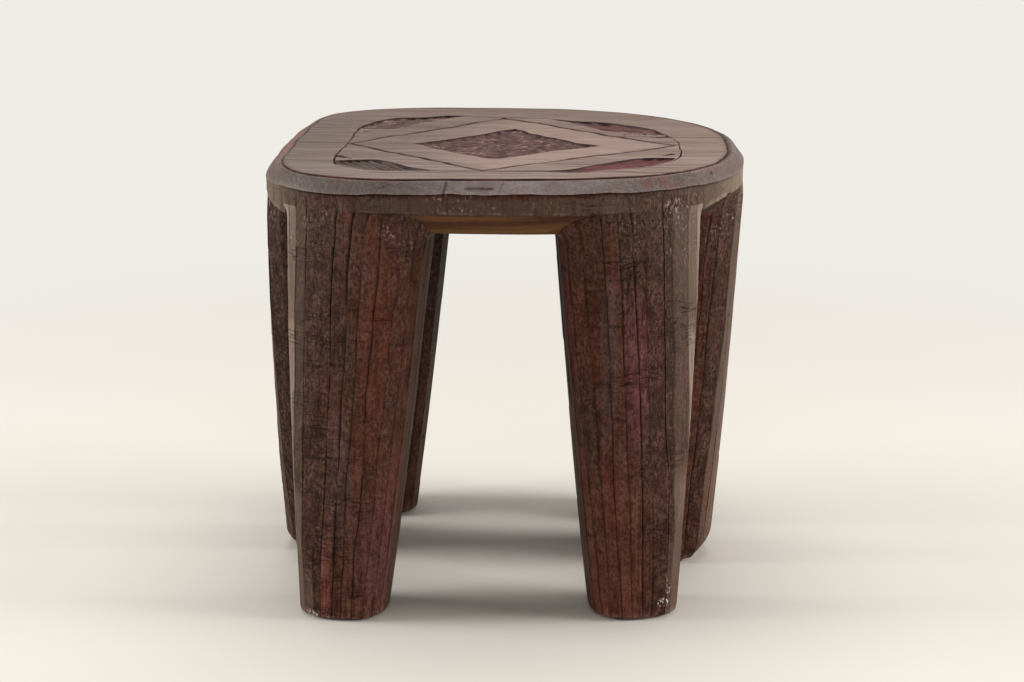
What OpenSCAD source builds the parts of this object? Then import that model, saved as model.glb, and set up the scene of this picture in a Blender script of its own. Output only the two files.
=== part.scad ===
// Carved stool: a thick seat slab with a squarish round outline on six stout tapered legs.
// Millimetres, +Z up. The origin is on the floor under the middle of the seat, and the front is -Y.

/* [Seat] */
// Width of the seat across the rim, left to right
seat_w = 318; // [300:2:360]
// Depth of the seat across the rim, front to back
seat_d = 308; // [290:2:350]
// Height of the seat top above the floor
seat_h = 291; // [230:1:340]
// Thickness of the slab, from its top to its flat underside
slab_t = 36; // [32:1:46]
// Squareness of the two left corners: 2 is an ellipse, 5 is nearly a square
left_square = 3.5; // [2.5:0.1:6]
// Squareness of the front right corner
front_right_square = 2.4; // [2.2:0.1:5]
// Squareness of the back right corner
back_right_square = 2.1; // [2:0.1:5]

/* [Edge] */
// Width of the bevel between the top and the rim band, seen from above
bevel_w = 10; // [4:0.5:12]
// Height of that bevel
bevel_h = 9; // [5:0.5:12]
// Height of the upright rim band
rim_h = 12; // [8:0.5:16]
// How far the underside is cut back behind the rim band
undercut_w = 18; // [8:1:20]

/* [Carving] */
// Width of the ring, left to right, along its line
ring_w = 228; // [216:2:240]
// Depth of the ring, front to back
ring_d = 222; // [216:2:230]
// Squareness of the ring's two left corners
ring_left_square = 5; // [3:0.1:6]
// Squareness of the ring's front right corner
ring_front_right_square = 3; // [2.4:0.1:5]
// Squareness of the ring's back right corner
ring_back_right_square = 2.2; // [2.1:0.1:5]
// Outer diamond, left corner to right corner
outer_diamond_w = 222; // [190:2:226]
// Outer diamond, front corner to back corner
outer_diamond_d = 212; // [180:2:220]
// Sunk inner diamond, left corner to right corner
inner_diamond_w = 128; // [90:1:150]
// Sunk inner diamond, front corner to back corner
inner_diamond_d = 123; // [90:1:140]
// Depth of the sunk inner diamond and the sunk corners
sunk = 2.5; // [1:0.25:4]
// Width of an incised line
line_w = 2; // [1:0.25:3]
// Depth of an incised line
line_depth = 1.5; // [0.5:0.25:2.5]
// Distance from the top's edge to the incised line inside it
edge_line_in = 4; // [2:0.5:10]
// Gap between the outer diamond and the back right sunk corner, the narrowest of the four
corner_gap = 12; // [6:1:14]
// How far the sunk corners keep from the pattern's line from left to right
corner_keep = 53; // [40:1:60]
// How far right of the middle the pattern was carved
pattern_right = 2; // [0:0.5:6]

/* [Legs] */
// Width of a leg at the seat, measured round the rim
leg_top_w = 94; // [70:1:96]
// Thickness of a leg at the seat, from the rim inwards
leg_top_t = 78; // [66:1:84]
// Width of a leg just above the floor
leg_foot_w = 58; // [44:1:70]
// Thickness of a leg just above the floor
leg_foot_t = 54; // [40:1:66]
// How much a leg swells halfway up, on each side
leg_belly = 1.5; // [0:0.25:4]
// Squareness of a leg's section at the seat
leg_top_square = 3.3; // [2:0.1:4]
// Squareness of its section at the floor
leg_foot_square = 2.5; // [2:0.1:4]
// Flat adze cuts round a leg
leg_facets = 26; // [16:1:40]
// Worn round at the bottom edge of a foot
foot_wear = 3; // [1:0.5:5]
// How much of a leg's outer face is trimmed off to lie flush with the rim
leg_trim = 4; // [2:0.5:6]
// How far outside the line of the rim a foot may stand
foot_splay = 12; // [0:1:20]

/* [Joints] */
// Diameter of the round stub tenon on a leg
tenon_d = 34; // [20:1:40]
// Length of the tenon
tenon_l = 18; // [10:1:20]
// Clearance round the tenon and past its end
joint_clear = 0.2; // [0.1:0.05:0.5]

/* [Hidden] */

// Heights of the seat's edges above the floor
band_top = seat_h - bevel_h;
band_bottom = band_top - rim_h;
underside = seat_h - slab_t;

// Squareness of the corners in order round the seat: back right, back left, front left, front right
seat_corners = [back_right_square, left_square, left_square, front_right_square];
ring_corners = [ring_back_right_square, ring_left_square, ring_left_square, ring_front_right_square];

// The pattern was cut by eye. How far left of the middle the front and back corners of each
// diamond fall, then how many times the gap and the keep of each sunk corner, in the same order
outer_lean = 11;
inner_lean = 3;
gap_times = [1, 2, 3, 1.7];
keep_times = [0.85, 1, 1.38, 1];

outline_points = 96;
past = 1;

// Each leg, in degrees: where its outer face meets the rim and which way that face looks, round
// from +X; how far it leans right and backwards on its way down; and the further turn of its
// foot. Then how many times the trim and the belly it has, and the bend of its lean: 1 is a
// straight leg, and at 2 most of the lean comes near the foot
FRONT_LEFT = [-121, -96, -2.8, -3.2, -6, 1, 1, 1];
FRONT_RIGHT = [-58.4, -82, 1.3, -2.5, 8, 1, 1, 1];
LEFT = [187, 180, -1.9, 8, 10, 1, 4, 2];
RIGHT = [-2, 0, -1.7, 2.1, -12, 0.25, 1, 1];
BACK_LEFT = [122, 95, -2.5, -3.6, 0, 1, 1, 1];
BACK_RIGHT = [59, 80, 2.1, -1.3, 0, 1, 1, 1];

// Point of a squarish round outline, w wide and d deep, at an angle round from +X. The angle is
// that of the same outline when it is as deep as it is wide
function on_outline(angle, w, d, corners) =
    let (
        square = corners[floor((angle % 360 + 360) % 360 / 90)],
        reach = pow(pow(abs(cos(angle)), square) + pow(abs(sin(angle)), square), -1 / square)
    )
    reach / 2 * [w * cos(angle), d * sin(angle)];

// Points of such an outline, counter-clockwise
function outline(w, d, corners, count = outline_points) =
    [for (i = [0 : count - 1]) on_outline((i + 0.5) * 360 / count, w, d, corners)];

function at_height(points, z) = [for (p = points) [p.x, p.y, z]];
function seat_outline(inset) = outline(seat_w - 2 * inset, seat_d - 2 * inset, seat_corners);
function ring_outline(inset) = outline(ring_w - 2 * inset, ring_d - 2 * inset, ring_corners);
function diamond(w, d, lean, grow = 0) =
    let (side = w / 2 + grow * sqrt(2), end = d / 2 + grow * sqrt(2))
    [[side, 0], [-lean, end], [-side, 0], [-lean, -end]];

// Closed solid through rings of points, each with as many points, from the bottom up
module skin(rings) {
    n = len(rings[0]);
    last = len(rings) - 1;
    sides = [for (r = [0 : last - 1], i = [0 : n - 1])
        let (a = r * n + i, b = r * n + (i + 1) % n) each [[a, a + n, b + n], [a, b + n, b]]];
    bottom = [for (i = [0 : n - 1]) i];
    top = [for (i = [n - 1 : -1 : 0]) last * n + i];
    polyhedron(points = [for (ring = rings) each ring], faces = concat([bottom, top], sides));
}

module seat_block() {
    skin([
        at_height(seat_outline(undercut_w), underside),
        at_height(seat_outline(0), band_bottom),
        at_height(seat_outline(0), band_top),
        at_height(seat_outline(bevel_w), seat_h),
    ]);
}

// A line of the given width, centred on an outline that the two children draw, outer one first
module incised() {
    translate([0, 0, seat_h - line_depth])
        linear_extrude(line_depth + past)
            difference() {
                children(0);
                children(1);
            }
}

// One sunk corner between the ring and the outer diamond. Quarter 0 is back right, then round
module sunk_corner(quarter) {
    side = quarter == 0 || quarter == 3 ? 1 : -1;
    back = quarter < 2 ? 1 : -1;
    start = outer_diamond_d / 2 + corner_gap * gap_times[quarter] * sqrt(2);
    keep = corner_keep * keep_times[quarter];
    far = ring_w + ring_d;
    translate([0, 0, seat_h - sunk])
        linear_extrude(sunk + past)
            intersection() {
                polygon(ring_outline(line_w / 2));
                polygon([[side * start, 0], [0, back * start], [0, back * far],
                         [side * far, back * far], [side * far, 0]]);
                polygon([[0, back * keep], [side * far, back * keep],
                         [side * far, back * far], [0, back * far]]);
            }
}

module carving() {
    edge_in = bevel_w + edge_line_in;
    incised() {
        polygon(seat_outline(edge_in));
        polygon(seat_outline(edge_in + line_w));
    }
    translate([pattern_right, 0, 0]) {
        incised() {
            polygon(ring_outline(-line_w / 2));
            polygon(ring_outline(line_w / 2));
        }
        incised() {
            polygon(diamond(outer_diamond_w, outer_diamond_d, outer_lean, line_w / 2));
            polygon(diamond(outer_diamond_w, outer_diamond_d, outer_lean, -line_w / 2));
        }
        translate([0, 0, seat_h - sunk])
            linear_extrude(sunk + past)
                polygon(diamond(inner_diamond_w, inner_diamond_d, inner_lean));
        for (quarter = [0 : 3])
            sunk_corner(quarter);
    }
}

// Middle of a leg's top: in from the rim by half its thickness, less what is trimmed off
function leg_top(leg) =
    on_outline(leg[0], seat_w, seat_d, seat_corners)
    - (leg_top_t / 2 - leg_trim * leg[5]) * [cos(leg[1]), sin(leg[1])];

// Section of a leg at a share of its height, 0 on the floor and 1 under the rim band
function leg_section(leg, share, wear = 0) =
    let (
        swell = leg_belly * leg[6] * 4 * share * (1 - share) - wear,
        t = leg_foot_t + (leg_top_t - leg_foot_t) * share + 2 * swell,
        w = leg_foot_w + (leg_top_w - leg_foot_w) * share + 2 * swell,
        facing = leg[1] + leg[4] * (1 - share),
        lean = band_bottom * [tan(leg[2]), tan(leg[3])],
        middle = leg_top(leg) + pow(1 - share, leg[7]) * lean,
        square = leg_foot_square + (leg_top_square - leg_foot_square) * share
    )
    [for (p = outline(t, w, [square, square, square, square], leg_facets))
        [middle.x + p.x * cos(facing) - p.y * sin(facing),
         middle.y + p.x * sin(facing) + p.y * cos(facing), share * band_bottom]];

// A leg of one piece with its tenon. Its outer face runs up flush to the rim band, so its
// shoulder meets both the flat underside and the slope behind the rim. It stands inside the
// square block that the seat just fills.
module leg(row) {
    top = leg_top(row);
    difference() {
        intersection() {
            skin([
                leg_section(row, 0, foot_wear),
                for (share = [foot_wear / band_bottom, 0.25, 0.5, 0.75, 1]) leg_section(row, share),
            ]);
            skin([
                at_height(seat_outline(-foot_splay), 0),
                at_height(seat_outline(0), band_bottom),
            ]);
            translate([-seat_w / 2, -seat_d / 2, 0])
                cube([seat_w, seat_d, seat_h]);
        }
        seat_block();
    }
    translate([top.x, top.y, underside - past])
        cylinder(d = tenon_d, h = tenon_l + past, $fn = 64);
}

module mortise(row) {
    top = leg_top(row);
    translate([top.x, top.y, underside - past])
        cylinder(d = tenon_d + 2 * joint_clear, h = past + tenon_l + joint_clear, $fn = 64);
}

module seat() {
    color("#85705f")
        difference() {
            seat_block();
            carving();
            for (row = [FRONT_LEFT, FRONT_RIGHT, LEFT, RIGHT, BACK_LEFT, BACK_RIGHT])
                mortise(row);
        }
}

module front_left_leg() { color("#4f3835") leg(FRONT_LEFT); }
module front_right_leg() { color("#5e3232") leg(FRONT_RIGHT); }
module left_leg() { color("#4a342e") leg(LEFT); }
module right_leg() { color("#54403a") leg(RIGHT); }
module back_left_leg() { color("#3c2b26") leg(BACK_LEFT); }
module back_right_leg() { color("#4a342e") leg(BACK_RIGHT); }

seat();
front_left_leg();
front_right_leg();
left_leg();
right_leg();
back_left_leg();
back_right_leg();
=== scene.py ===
import math

import bpy
import numpy as np
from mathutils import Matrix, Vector, geometry, kdtree


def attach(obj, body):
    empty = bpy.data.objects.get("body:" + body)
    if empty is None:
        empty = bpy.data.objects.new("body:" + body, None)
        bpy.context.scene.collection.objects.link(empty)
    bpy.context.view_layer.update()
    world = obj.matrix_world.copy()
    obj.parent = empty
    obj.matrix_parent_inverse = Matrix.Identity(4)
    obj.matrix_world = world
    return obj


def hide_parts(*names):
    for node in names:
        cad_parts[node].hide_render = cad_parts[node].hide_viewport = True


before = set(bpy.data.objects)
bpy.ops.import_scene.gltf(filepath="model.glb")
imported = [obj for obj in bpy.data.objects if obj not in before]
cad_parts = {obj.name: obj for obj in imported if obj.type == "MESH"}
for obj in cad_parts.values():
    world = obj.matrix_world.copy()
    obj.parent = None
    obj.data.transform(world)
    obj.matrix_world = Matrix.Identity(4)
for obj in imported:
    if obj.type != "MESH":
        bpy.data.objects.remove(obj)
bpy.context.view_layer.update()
mm = 0.001

# The stand the stool is shown on: a pale floor, two large soft lamps at the sides, one overhead
# and a weak one in front, so that the colours come out about as they are written.
scene = bpy.context.scene
scene.view_settings.view_transform = "Standard"


def stain(code):
    """A colour written as on a paint card, such as 8a7468, as the shader takes it."""
    shares = [int(code[i:i + 2], 16) / 255 for i in (0, 2, 4)]
    return [s / 12.92 if s <= 0.04045 else ((s + 0.055) / 1.055) ** 2.4 for s in shares] + [1.0]


def add_node(tree, kind, settings=(), **inputs):
    """A node with its settings, and its inputs by name: a number, a colour or another's output."""
    node = tree.nodes.new(kind)
    for name, value in dict(settings).items():
        setattr(node, name, value)
    for name, value in inputs.items():
        socket = next(s for s in node.inputs if s.enabled and s.name == name.replace("_", " "))
        value = getattr(value, "socket", value)
        if isinstance(value, bpy.types.NodeSocket):
            tree.links.new(value, socket)
        else:
            socket.default_value = value
    return node


def first_out(node):
    """The first output that the node has with these settings."""
    return next(socket for socket in node.outputs if socket.enabled)


def soft_lamp(name, place, size, power, aim=(0, 0, 0.15)):
    lamp = bpy.data.lights.new(name, "AREA")
    lamp.shape = "DISK"
    lamp.size = size
    lamp.energy = power
    holder = bpy.data.objects.new(name, lamp)
    holder.location = place
    holder.rotation_euler = (Vector(aim) - Vector(place)).to_track_quat("-Z", "Y").to_euler()
    scene.collection.objects.link(holder)


def show_camera(tree, lit, backdrop, share, end):
    """Lets the camera see a share of the backdrop's own colour, and all else only what is lit."""
    blend = add_node(tree, "ShaderNodeMixShader", Fac=share)
    tree.links.new(lit.outputs[0], blend.inputs[1])
    tree.links.new(backdrop.outputs[0], blend.inputs[2])
    tree.links.new(blend.outputs[0], tree.nodes[end].inputs["Surface"])


soft_lamp("left_lamp", (-2.0, -0.2, 0.6), 1.0, 42)
soft_lamp("right_lamp", (2.0, -0.15, 0.6), 1.0, 44)
soft_lamp("top_lamp", (0.0, 0.4, 1.9), 1.4, 18)
soft_lamp("front_lamp", (0.3, -2.2, 1.4), 1.2, 4)

backdrop_colour = stain("efece6")
room = bpy.data.worlds.new("pale_room")
room.use_nodes = True
tree = room.node_tree
room_light = tree.nodes["Background"]
room_light.inputs["Color"].default_value = stain("f4f2ee")
room_light.inputs["Strength"].default_value = 0.35
camera_ray = add_node(tree, "ShaderNodeLightPath").outputs["Is Camera Ray"]
backdrop = add_node(tree, "ShaderNodeBackground", Color=backdrop_colour)
show_camera(tree, room_light, backdrop, camera_ray, "World Output")
scene.world = room

floor_reach, fade_from, fade_to = 8.0, 0.3, 1.1
floor_mesh = bpy.data.meshes.new("floor")
floor_corners = [(x * floor_reach, y * floor_reach, 0) for x, y in ((-1, -1), (1, -1), (1, 1), (-1, 1))]
floor_mesh.from_pydata(floor_corners, [], [(0, 1, 2, 3)])
floor = bpy.data.objects.new("floor", floor_mesh)
scene.collection.objects.link(floor)
floor_paint = bpy.data.materials.new("pale_floor")
floor_paint.use_nodes = True
tree = floor_paint.node_tree
floor_light = tree.nodes["Principled BSDF"]
floor_light.inputs["Base Color"].default_value = stain("ded8ce")
floor_light.inputs["Roughness"].default_value = 0.8
place = add_node(tree, "ShaderNodeTexCoord").outputs["Object"]
reach = add_node(tree, "ShaderNodeVectorMath", {"operation": "LENGTH"}, Vector=place).outputs["Value"]
fade = add_node(tree, "ShaderNodeMapRange", {"interpolation_type": "SMOOTHSTEP"}, Value=reach,
                From_Min=fade_from, From_Max=fade_to)
seen = add_node(tree, "ShaderNodeMath", {"operation": "MULTIPLY"}, Value=fade.outputs[0])
tree.links.new(add_node(tree, "ShaderNodeLightPath").outputs["Is Camera Ray"], seen.inputs[1])
backdrop = add_node(tree, "ShaderNodeEmission", Color=backdrop_colour)
show_camera(tree, floor_light, backdrop, seen.outputs[0], "Material Output")
floor_mesh.materials.append(floor_paint)

camera = bpy.data.cameras.new("camera")
camera.sensor_width = 36
camera.lens = 91.4
camera_stand = bpy.data.objects.new("camera", camera)
camera_stand.location = (0.1086, -1.7433, 0.5873)
camera_stand.rotation_euler = (math.radians(76), 0, math.radians(3.5))
scene.collection.objects.link(camera_stand)
scene.camera = camera_stand


# The legs. On the real stool they are one wood with the seat: six stout tapered posts left
# standing in the block, trimmed with a hand adze in long narrow cuts from top to bottom. Dark
# stain sits in the lines between the cuts, and some cuts stop short in a small step.
seat_w, seat_d, seat_top = 318.0, 308.0, 291.0
band_bottom, underside, undercut = 270.0, 255.0, 18.0
corner_square = [2.1, 3.5, 3.5, 2.4]


def rim_point(turn, inset=0.0):
    """Points of the seat's squarish outline at angles round it, in mm, as far in as asked."""
    turn = np.asarray(turn, float)
    square = np.array(corner_square)[(np.floor(turn / (math.pi / 2)) % 4).astype(int)]
    c, s = np.cos(turn), np.sin(turn)
    reach = (abs(c) ** square + abs(s) ** square) ** (-1 / square) / 2
    return np.stack([(seat_w - 2 * inset) * reach * c, (seat_d - 2 * inset) * reach * s], -1)


class Reckon:
    """A number that nodes work out at each point, so that a shape reads as plain sums."""

    def __init__(self, tree, socket):
        self.tree, self.socket = tree, socket

    def by(self, operation, *others):
        node = self.tree.nodes.new("ShaderNodeMath")
        node.operation = operation
        for place, value in enumerate((self, *others)):
            if isinstance(value, Reckon):
                self.tree.links.new(value.socket, node.inputs[place])
            else:
                node.inputs[place].default_value = value
        return Reckon(self.tree, node.outputs[0])

    def __neg__(self):
        return self.by("MULTIPLY", -1)

    def __rsub__(self, other):
        return (-self).by("ADD", other)

    def clipped(self):
        return self.by("MINIMUM", 1).by("MAXIMUM", 0)

    def away(self):
        return self.by("ABSOLUTE")

    def between(self, low, high):
        """How far the number has come from low to high, kept within 0 and 1."""
        return ((self - low) / (high - low)).clipped()


for sign, operation in (("add", "ADD"), ("radd", "ADD"), ("sub", "SUBTRACT"), ("mul", "MULTIPLY"),
                        ("rmul", "MULTIPLY"), ("truediv", "DIVIDE"), ("pow", "POWER")):
    setattr(Reckon, f"__{sign}__", lambda self, other, operation=operation: self.by(operation, other))


leg_sizes = {
    "Height": band_bottom * mm, "Top Width": 94 * mm, "Top Thickness": 78 * mm,
    "Foot Width": 58 * mm, "Foot Thickness": 54 * mm, "Top Squareness": 3.3, "Foot Squareness": 2.5,
    "Cuts": 26.0, "Wander": 0.22, "Flatness": 0.85, "Hollow": 0.25 * mm, "Line Depth": 0.75 * mm,
    "Step Depth": 0.75 * mm, "Steps": 4.4, "Flare": 3.5 * mm, "Flare Height": 9 * mm,
    "Foot Wear": 4.5 * mm, "Seat Width": seat_w * mm, "Seat Depth": seat_d * mm,
    "Splay": 12 * mm, "Underside": underside * mm, "Undercut": undercut * mm,
}
own_sizes = dict.fromkeys(["Top X", "Top Y", "Lean X", "Lean Y", "Bend", "Facing", "Foot Turn", "Belly",
                           "Greying And Side Light", "Grey From", "Shade", "Outer Wear", "Seed"], 0.0)
leg_counts = {"Columns": 208, "Rings": 150}


def new_tree(name, kind, takes, gives, given_out="Float"):
    """A node tree with its named inputs, each a number or a kind of socket, and its outputs."""
    tree = bpy.data.node_groups.new(name, kind)
    for label, value in takes.items():
        sort = {int: "Int", float: "Float"}.get(type(value), value)
        socket = tree.interface.new_socket(label, in_out="INPUT", socket_type="NodeSocket" + sort)
        if sort != value:
            socket.default_value = value
    for label in gives:
        tree.interface.new_socket(label, in_out="OUTPUT", socket_type="NodeSocket" + given_out)
    return tree, tree.nodes.new("NodeGroupInput"), tree.nodes.new("NodeGroupOutput")


def marked(tree, shape, values):
    """Keeps values on the points of a shape under their names, for the material to read."""
    for name, value in values.items():
        shape = add_node(tree, "GeometryNodeStoreNamedAttribute", {"data_type": "FLOAT", "domain": "POINT"},
                         Geometry=shape, Name=name, Value=value).outputs[0]
    return shape


def adzed_leg_tree():
    """One leg: a tapered squarish post in long cuts, with its top end under the seat."""
    takes = {**leg_sizes, **own_sizes, **leg_counts, "Wood": "Material"}
    tree, given, out = new_tree("adzed_leg", "GeometryNodeTree", takes, ["Leg"], "Geometry")
    size = {name: Reckon(tree, given.outputs[name]) for name in [*leg_sizes, *own_sizes]}
    two_pi = 2 * math.pi

    def chance(item, salt):
        """A number from 0 to 1 that belongs to one cut, stroke or line, the same all along it."""
        node = add_node(tree, "FunctionNodeRandomValue", {"data_type": "FLOAT"},
                        ID=item, Seed=size["Seed"] * 10 + salt)
        return Reckon(tree, first_out(node))

    def drift(along, item, salt):
        """A number from about -1 to 1 that changes smoothly along a line."""
        place = add_node(tree, "ShaderNodeCombineXYZ", X=along, Y=item * 7.31 + salt, Z=size["Seed"] * 3.7)
        waves = add_node(tree, "ShaderNodeTexNoise", Vector=place.outputs[0], Scale=1.0, Detail=1.5)
        return (Reckon(tree, waves.outputs[0]) - 0.5) * 2.6

    blank = add_node(tree, "GeometryNodeMeshCylinder", {"fill_type": "TRIANGLE_FAN"},
                     Vertices=given.outputs["Columns"], Side_Segments=given.outputs["Rings"],
                     Fill_Segments=6, Radius=1.0, Depth=1.0)
    where = add_node(tree, "ShaderNodeSeparateXYZ",
                     Vector=tree.nodes.new("GeometryNodeInputPosition").outputs[0])
    x, y, z = (Reckon(tree, socket) for socket in where.outputs)
    share = (z + 0.5).clipped()
    height = share * size["Height"]
    from_axis = ((x * x + y * y) ** 0.5).by("MINIMUM", 1)

    # Which cut a point belongs to, and how far across it. Columns crowd towards the lines
    nudge = 0.01
    round_leg = ((y.by("ARCTAN2", x) / two_pi + 1) * size["Cuts"] + nudge).by("MODULO", size["Cuts"])
    cut = round_leg.by("FLOOR")
    across = (round_leg - cut - nudge).clipped()
    across = across - (across * two_pi).by("SINE") * 0.1
    next_cut = (cut + 1.01).by("MODULO", size["Cuts"]).by("FLOOR")

    def line_turn(whole, item):
        shift = (chance(item, 1) - 0.5) * 0.5 + drift(share * 4, item, 11) * size["Wander"]
        shift = shift + drift(share * 24, item, 17) * size["Wander"] * 0.2
        return (whole + shift) * two_pi / size["Cuts"]

    left_turn = line_turn(cut, cut)
    right_turn = line_turn(cut + 1, next_cut)
    turn = left_turn + (right_turn - left_turn) * across

    def by_height(part):
        low, high = size["Foot " + part], size["Top " + part]
        return low + (high - low) * share

    belly = size["Belly"] * 4 * share * (1 - share)
    near_seat = (1 - (size["Height"] - height) / size["Flare Height"]).clipped()
    swell = belly + near_seat * near_seat * size["Flare"]
    half_thick = by_height("Thickness") * 0.5 + swell
    half_wide = by_height("Width") * 0.5 + swell
    square = by_height("Squareness")

    def on_section(angle):
        c, s = angle.by("COSINE"), angle.by("SINE")
        spread = (c.away() ** square + s.away() ** square) ** (square ** -1 * -1)
        return half_thick * c * spread, half_wide * s * spread

    left_x, left_y = on_section(left_turn)
    right_x, right_y = on_section(right_turn)
    round_x, round_y = on_section(turn)
    flat = size["Flatness"]
    plan_x = round_x + (left_x + (right_x - left_x) * across - round_x) * flat
    plan_y = round_y + (left_y + (right_y - left_y) * across - round_y) * flat

    facing = size["Facing"] + size["Foot Turn"] * (1 - share)
    lean = (1 - share) ** size["Bend"]
    c, s = facing.by("COSINE"), facing.by("SINE")
    middle_x = size["Top X"] + size["Lean X"] * lean
    middle_y = size["Top Y"] + size["Lean Y"] * lean
    stand_x = middle_x + plan_x * c - plan_y * s
    stand_y = middle_y + plan_x * s + plan_y * c

    # The outer face is trimmed flush with the rim of the seat and the sides of the block
    grown = size["Splay"] * (1 - share)
    half_w, half_d = size["Seat Width"] * 0.5, size["Seat Depth"] * 0.5
    right_side, back_side = stand_x.by("GREATER_THAN", 0), stand_y.by("GREATER_THAN", 0)
    front_corner = corner_square[2] + right_side * (corner_square[3] - corner_square[2])
    back_corner = corner_square[1] + right_side * (corner_square[0] - corner_square[1])
    corner = front_corner + (back_corner - front_corner) * back_side

    def from_rim(px, py, more):
        reach = (px / (half_w + more)).away() ** corner + (py / (half_d + more)).away() ** corner
        return reach ** (corner ** -1)

    def flush(px, py):
        px, py = middle_x + px * c - py * s, middle_y + px * s + py * c
        beyond = from_rim(px, py, grown).by("MAXIMUM", 1)
        return ((px / beyond).by("MINIMUM", half_w).by("MAXIMUM", -half_w),
                (py / beyond).by("MINIMUM", half_d).by("MAXIMUM", -half_d))

    flush_x, flush_y = flush(plan_x, plan_y)
    left_flush_x, left_flush_y = flush(left_x, left_y)
    right_flush_x, right_flush_y = flush(right_x, right_y)

    # Each stroke has its own depth, and a step where the adze stopped
    walk = share * size["Steps"] + chance(cut, 2) * size["Steps"]
    stroke = walk.by("FLOOR") * 37 + cut
    stroke_depth = (chance(stroke, 3) + chance(cut, 4)) * 0.5 * size["Step Depth"]
    nearest = cut + (next_cut - cut) * across.by("GREATER_THAN", 0.5)
    line_shows = (drift(share * 7, nearest, 29) * 1.5 + 0.95).clipped() * (0.5 + chance(nearest, 7) * 0.5)
    line_wide = 0.06 + ((drift(share * 11, nearest, 37) + 0.6) * 0.1).by("MAXIMUM", 0) * chance(nearest, 8)
    on_line = (1 - across.by("MINIMUM", 1 - across) / line_wide).clipped()
    row = size["Steps"] / Reckon(tree, given.outputs["Rings"])
    stops = (walk - walk.by("FLOOR")).by("LESS_THAN", row) * chance(stroke, 5).by("GREATER_THAN", 0.55)
    line = (on_line * line_shows).by("MAXIMUM", stops * 0.5)
    hollow = across * (1 - across) * 4 * size["Hollow"]
    face_x, face_y = right_flush_x - left_flush_x, right_flush_y - left_flush_y
    outwards = face_y / ((face_x * face_x + face_y * face_y) ** 0.5) * size["Top X"].by("SIGN")
    foot_wear = size["Foot Wear"] * (1 + outwards.between(0.2, 0.9) * size["Outer Wear"])
    worn = (1 - height / foot_wear).clipped()
    foot_round = (1 - (1 - worn * worn) ** 0.5) * foot_wear
    carved = stroke_depth + line * size["Line Depth"] + hollow + foot_round
    arm_x, arm_y = flush_x - middle_x, flush_y - middle_y
    arm = (arm_x * arm_x + arm_y * arm_y) ** 0.5
    keep = (1 - carved / arm) * from_axis
    end_x, end_y = middle_x + arm_x * keep, middle_y + arm_y * keep

    # The top end follows the seat's underside, flat in the middle and rising to the rim
    plain_x, plain_y = middle_x + arm_x * from_axis, middle_y + arm_y * from_axis
    rise = (1 - (1 - from_rim(plain_x, plain_y, 0)) * half_w / size["Undercut"]).clipped()
    rise = size["Underside"] + (size["Height"] - size["Underside"]) * rise
    stand_z = height - (size["Height"] - rise) * share ** 6
    place = add_node(tree, "ShaderNodeCombineXYZ", X=end_x, Y=end_y, Z=stand_z)

    # Each cut has a tone of its own, and the leg's Shade takes it down as painted shade. The next mark is
    # painted shade as well: facets that face partly sideways are darker, and the whole leg is darker by its
    # Shade.
    tone = (drift(share * 2.2, cut, 41) * 0.6 + chance(cut, 6) * 0.7 + 0.15 - size["Shade"]).clipped()
    dim = outwards.between(0.26, 0.42) * (1 - outwards.between(0.62, 0.75)) * 0.75 + size["Shade"] * 0.7
    # Facets that face sideways go greyer and lighter: partly the wood's grey bloom, partly painted light from
    # the sides.
    greyed_and_side_lit = (outwards - size["Grey From"]) * 10
    bloom = greyed_and_side_lit.clipped() * 0.65 + (greyed_and_side_lit - 1).clipped() * 0.85
    bloom = bloom.by("MAXIMUM", (-outwards).between(0.9, 0.985) * 0.7)
    bloom = bloom * (0.8 + chance(cut, 9) * 0.2) * size["Greying And Side Light"]
    dark_line = (on_line * line_shows).by("MAXIMUM", stops * (0.5 - bloom.clipped() * 0.42))
    marks = {"line": dark_line, "tone": tone, "share": share, "bloom": bloom, "dim": dim.clipped(),
             "from_axis": from_axis}
    shape = marked(tree, blank.outputs["Mesh"], marks)
    for step, inputs in (("SetPosition", {"Position": place.outputs[0]}), ("SetShadeSmooth", {}),
                         ("RealizeInstances", {}), ("SetMaterial", {"Material": given.outputs["Wood"]})):
        shape = add_node(tree, "GeometryNode" + step, Geometry=shape, **inputs).outputs[0]
    tree.links.new(shape, out.inputs["Leg"])
    return tree


def worked(tree, name, inputs, blank=None):
    """The piece that a node tree makes, as a plain mesh with nothing left live on it."""
    piece = bpy.data.objects.new(name, blank or bpy.data.meshes.new(name + "_blank"))
    scene.collection.objects.link(piece)
    modifier = piece.modifiers.new(tree.name, "NODES")
    modifier.node_group = tree
    for socket in tree.interface.items_tree:
        if socket.in_out == "INPUT" and socket.name in inputs:
            modifier[socket.identifier] = inputs[socket.name]
    now = bpy.context.evaluated_depsgraph_get()
    mesh = bpy.data.meshes.new_from_object(piece.evaluated_get(now), depsgraph=now)
    piece.modifiers.clear()
    piece.data = mesh
    mesh.name = name
    return piece


def pattern(tree, counts, detail, roughness=0.5, twist=0.0):
    """Noise with its own count per metre in x, y and z, on the piece's own coordinates."""
    here = add_node(tree, "ShaderNodeTexCoord").outputs["Object"]
    stretched = add_node(tree, "ShaderNodeMapping", Vector=here, Scale=counts)
    noise = add_node(tree, "ShaderNodeTexNoise", Vector=stretched.outputs[0], Scale=1.0, Detail=detail,
                     Roughness=roughness, Distortion=twist)
    return Reckon(tree, noise.outputs[0])


def spans(tree, layers):
    """Layers of noise, each given as a pattern and the low and high that it is stretched between."""
    return {name: pattern(tree, *look).between(low, high) for name, (low, high, *look) in layers.items()}


def effect(name, inputs, values):
    """A shader group: numbers go in by name, and each value it puts out is worked out from them."""
    group, given, put_out = new_tree(name, "ShaderNodeTree", inputs, [])
    numbers = {label: Reckon(group, given.outputs[label]) for label in inputs}
    for label, value in values(group, numbers).items():
        group.interface.new_socket(label, in_out="OUTPUT", socket_type="NodeSocketFloat")
        group.links.new(value.socket, put_out.inputs[label])
    return group


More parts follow.
